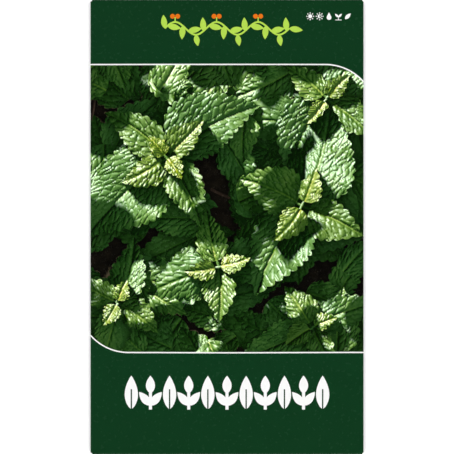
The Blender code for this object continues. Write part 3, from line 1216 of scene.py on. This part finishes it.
class Shader:
    """A material under construction: its nodes and links."""

    def __init__(self, name):
        self.material = bpy.data.materials.new(name)
        self.material.use_nodes = True
        self.tree = self.material.node_tree
        self.main = self.tree.nodes["Principled BSDF"]
        self.where = self.node("ShaderNodeTexCoord").outputs["Object"]

    def node(self, kind, **settings):
        made = self.tree.nodes.new(kind)
        for key, value in settings.items():
            setattr(made, key, value)
        return made

    def link(self, source, target):
        self.tree.links.new(source, target)

    def put(self, socket, value):
        """Sets a socket to a number or a colour, or links it to another node's output."""
        if isinstance(value, bpy.types.NodeSocket):
            self.link(value, socket)
        else:
            socket.default_value = (*value, 1) if isinstance(value, tuple) else value

    def noise(self, size, detail=2.0):
        """Noise with bumps of that size in millimetres."""
        made = self.node("ShaderNodeTexNoise")
        made.inputs["Scale"].default_value = 1 / (size * MM)
        made.inputs["Detail"].default_value = detail
        self.link(self.where, made.inputs["Vector"])
        return made.outputs["Fac"]

    def spread(self, value, low, high, to_low=0.0, to_high=1.0):
        """The value, with the range from low to high spread out or squeezed into another."""
        made = self.node("ShaderNodeMapRange")
        self.put(made.inputs["Value"], value)
        for key, number in (("From Min", low), ("From Max", high), ("To Min", to_low), ("To Max", to_high)):
            made.inputs[key].default_value = number
        return made.outputs["Result"]

    def maths(self, operation, a, b):
        made = self.node("ShaderNodeMath", operation=operation)
        self.put(made.inputs[0], a)
        self.put(made.inputs[1], b)
        return made.outputs[0]

    def mix(self, factor, a, b, blend="MIX"):
        made = self.node("ShaderNodeMix", data_type="RGBA", blend_type=blend)
        for socket, value in ((made.inputs[0], factor), (made.inputs[6], a), (made.inputs[7], b)):
            self.put(socket, value)
        return made.outputs[2]

    def finish(self, colour, roughness, relief, depth):
        """The material, with relief of that depth in millimetres."""
        bump = self.node("ShaderNodeBump")
        bump.inputs["Distance"].default_value = depth * MM
        self.link(relief, bump.inputs["Height"])
        self.put(self.main.inputs["Base Color"], colour)
        self.put(self.main.inputs["Roughness"], roughness)
        self.link(bump.outputs["Normal"], self.main.inputs["Normal"])
        return self.material


def printed(name, ink, mottle=0.04):
    """Satin print on paper. The ink is a colour, or the name of the mesh's colours."""
    shader = Shader(name)
    if isinstance(ink, str):
        colour = shader.node("ShaderNodeVertexColor", layer_name=ink).outputs["Color"]
    else:
        colour = ink
    uneven = shader.maths("ADD", shader.noise(0.5), shader.noise(5, 3.0))
    shade = shader.spread(uneven, 0.6, 1.4, 1 - mottle, 1 + mottle)
    colour = shader.mix(1.0, colour, shade, "MULTIPLY")
    wear = shader.node("ShaderNodeAttribute", attribute_name="fold_wear").outputs["Fac"]
    worn = shader.maths("MULTIPLY", wear, shader.spread(shader.noise(0.35, 4.0), 0.5, 0.66))
    colour = shader.mix(shader.maths("MULTIPLY", worn, FOLD_WEAR), colour, BARE_PAPER)
    shader.main.inputs["IOR"].default_value = PRINT_IOR
    rough = shader.spread(shader.noise(1.2, 3.0), 0.3, 0.7, *PRINT_ROUGHNESS)
    grain = shader.maths("ADD", shader.noise(0.16, 3.0), shader.noise(0.9))
    return shader.finish(colour, rough, grain, 0.0028)


def bare_paper():
    """Uncoated white paper, with fibres and a slightly yellow cast."""
    shader = Shader("bare_paper")
    fibres = shader.spread(shader.noise(0.25, 5.0), 0.3, 0.7)
    clouds = shader.spread(shader.noise(9, 2.0), 0.35, 0.65)
    colour = shader.mix(fibres, (0.74, 0.73, 0.68), (0.85, 0.84, 0.81))
    colour = shader.mix(shader.maths("MULTIPLY", clouds, 0.25), colour, (0.80, 0.77, 0.69))
    shader.main.inputs["Specular IOR Level"].default_value = 0.25
    return shader.finish(colour, shader.spread(fibres, 0, 1, 0.9, 0.78), shader.noise(0.2, 5.0), 0.012)


def dried_glue():
    """Dried glue, clear with cloudy streaks."""
    shader = Shader("dried_glue")
    cloudy = shader.spread(shader.noise(1.5, 4.0), 0.35, 0.7)
    colour = shader.mix(cloudy, (0.80, 0.75, 0.58), (0.90, 0.88, 0.80))
    return shader.finish(colour, shader.spread(cloudy, 0, 1, 0.2, 0.55), shader.noise(0.8, 3.0), 0.01)


def seed_coat():
    """Dark brown seed coats, each a little different, with pale specks."""
    shader = Shader("seed_coat")
    each = shader.spread(shader.noise(2.4, 0.0), 0.35, 0.65)
    specks = shader.spread(shader.noise(0.12, 3.0), 0.55, 0.75)
    colour = shader.mix(each, (0.045, 0.020, 0.009), (0.16, 0.080, 0.034))
    colour = shader.mix(shader.maths("MULTIPLY", specks, 0.5), colour, (0.32, 0.21, 0.12))
    return shader.finish(colour, shader.spread(specks, 0, 1, 0.42, 0.75), shader.noise(0.1, 3.0), 0.02)


def studio_white():
    """Matt white that glows a little, more up the wall than on the floor, so that both look as white."""
    shader = Shader("studio_white")
    height = shader.node("ShaderNodeSeparateXYZ")
    shader.link(shader.where, height.inputs[0])
    glow = shader.spread(height.outputs["Z"], 0, WALL_RADIUS - FLOOR_RADIUS, FLOOR_GLOW, WALL_GLOW)
    shader.put(shader.main.inputs["Base Color"], (0.94, 0.94, 0.94))
    shader.main.inputs["Roughness"].default_value = 0.9
    shader.main.inputs["Specular IOR Level"].default_value = 0
    shader.put(shader.main.inputs["Emission Color"], (1, 1, 1))
    shader.put(shader.main.inputs["Emission Strength"], glow)
    return shader.material


# Stage, lights and camera


def add_stage():
    """A wide pale floor that curves up into a round wall."""
    cove = WALL_RADIUS - FLOOR_RADIUS
    turns = np.linspace(0, math.pi / 2, 13)
    profile = [(0, 0)]
    profile += [(FLOOR_RADIUS + cove * math.sin(t), cove * (1 - math.cos(t))) for t in turns]
    profile.append((WALL_RADIUS, WALL_HEIGHT))
    bm = bmesh.new()
    line = [bm.verts.new((r, 0, FLOOR_HEIGHT + z)) for r, z in profile]
    sides = [bm.edges.new(pair) for pair in zip(line, line[1:])]
    geometry = line + sides
    bmesh.ops.spin(bm, geom=geometry, cent=(0, 0, 0), axis=(0, 0, 1), angle=2 * math.pi, steps=96)
    bmesh.ops.remove_doubles(bm, verts=bm.verts, dist=1e-5)
    bmesh.ops.recalc_face_normals(bm, faces=bm.faces)
    solid("backdrop", bm, studio_white())


def add_lights():
    """Wide soft lights all round, so low that none mirrors in the satin print from straight above."""
    for k in range(LIGHTS):
        turn = math.radians(LIGHT_TURN + 360 / LIGHTS * k)
        light = bpy.data.lights.new("soft_light", "AREA")
        light.shape = "DISK"
        light.size = LIGHT_SIZE
        light.energy = LIGHT_POWER
        holder = add_object("soft_light", light)
        place = Vector((LIGHT_AWAY * math.cos(turn), LIGHT_AWAY * math.sin(turn), LIGHT_HEIGHT))
        holder.location = place
        holder.rotation_euler = place.to_track_quat("Z", "Y").to_euler()
    world = bpy.data.worlds.new("studio")
    world.use_nodes = True
    background = world.node_tree.nodes["Background"]
    background.inputs["Color"].default_value = (1, 1, 1, 1)
    background.inputs["Strength"].default_value = WORLD_GLOW
    bpy.context.scene.world = world


def add_camera():
    """Straight above the packet, with the packet's height filling the picture."""
    camera = bpy.data.cameras.new("camera")
    camera.lens = LENS
    camera.sensor_width = SENSOR
    holder = add_object("camera", camera)
    holder.location = (0, 0, (FRAMED * HEIGHT * LENS / SENSOR + FOCUS_HEIGHT) * MM)
    bpy.context.scene.camera = holder


def main():
    materials = [
        printed("green_print", GREEN_INK),
        printed("white_print", WHITE_PRINT, mottle=0.015),
        printed("lime_print", LIME_INK),
        printed("orange_print", ORANGE_INK),
        printed("pale_print", PANEL_INK, mottle=0.02),
        printed("picture_print", "picture", mottle=0.03),
        bare_paper(),
    ]
    sheet = paper_sheet(materials)
    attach(sheet, "root")
    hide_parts("paper_envelope")
    seeds = seed_heap(seed_coat())
    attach(seeds, "root")
    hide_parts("seeds")
    glue = dried_glue()
    for name in ("side_seam_glue", "bottom_flap_glue", "closure_flap_glue"):
        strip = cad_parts[name]
        strip.data.materials.clear()
        strip.data.materials.append(glue)
    add_stage()
    add_lights()
    add_camera()
    bpy.context.scene.view_settings.view_transform = "Standard"


main()
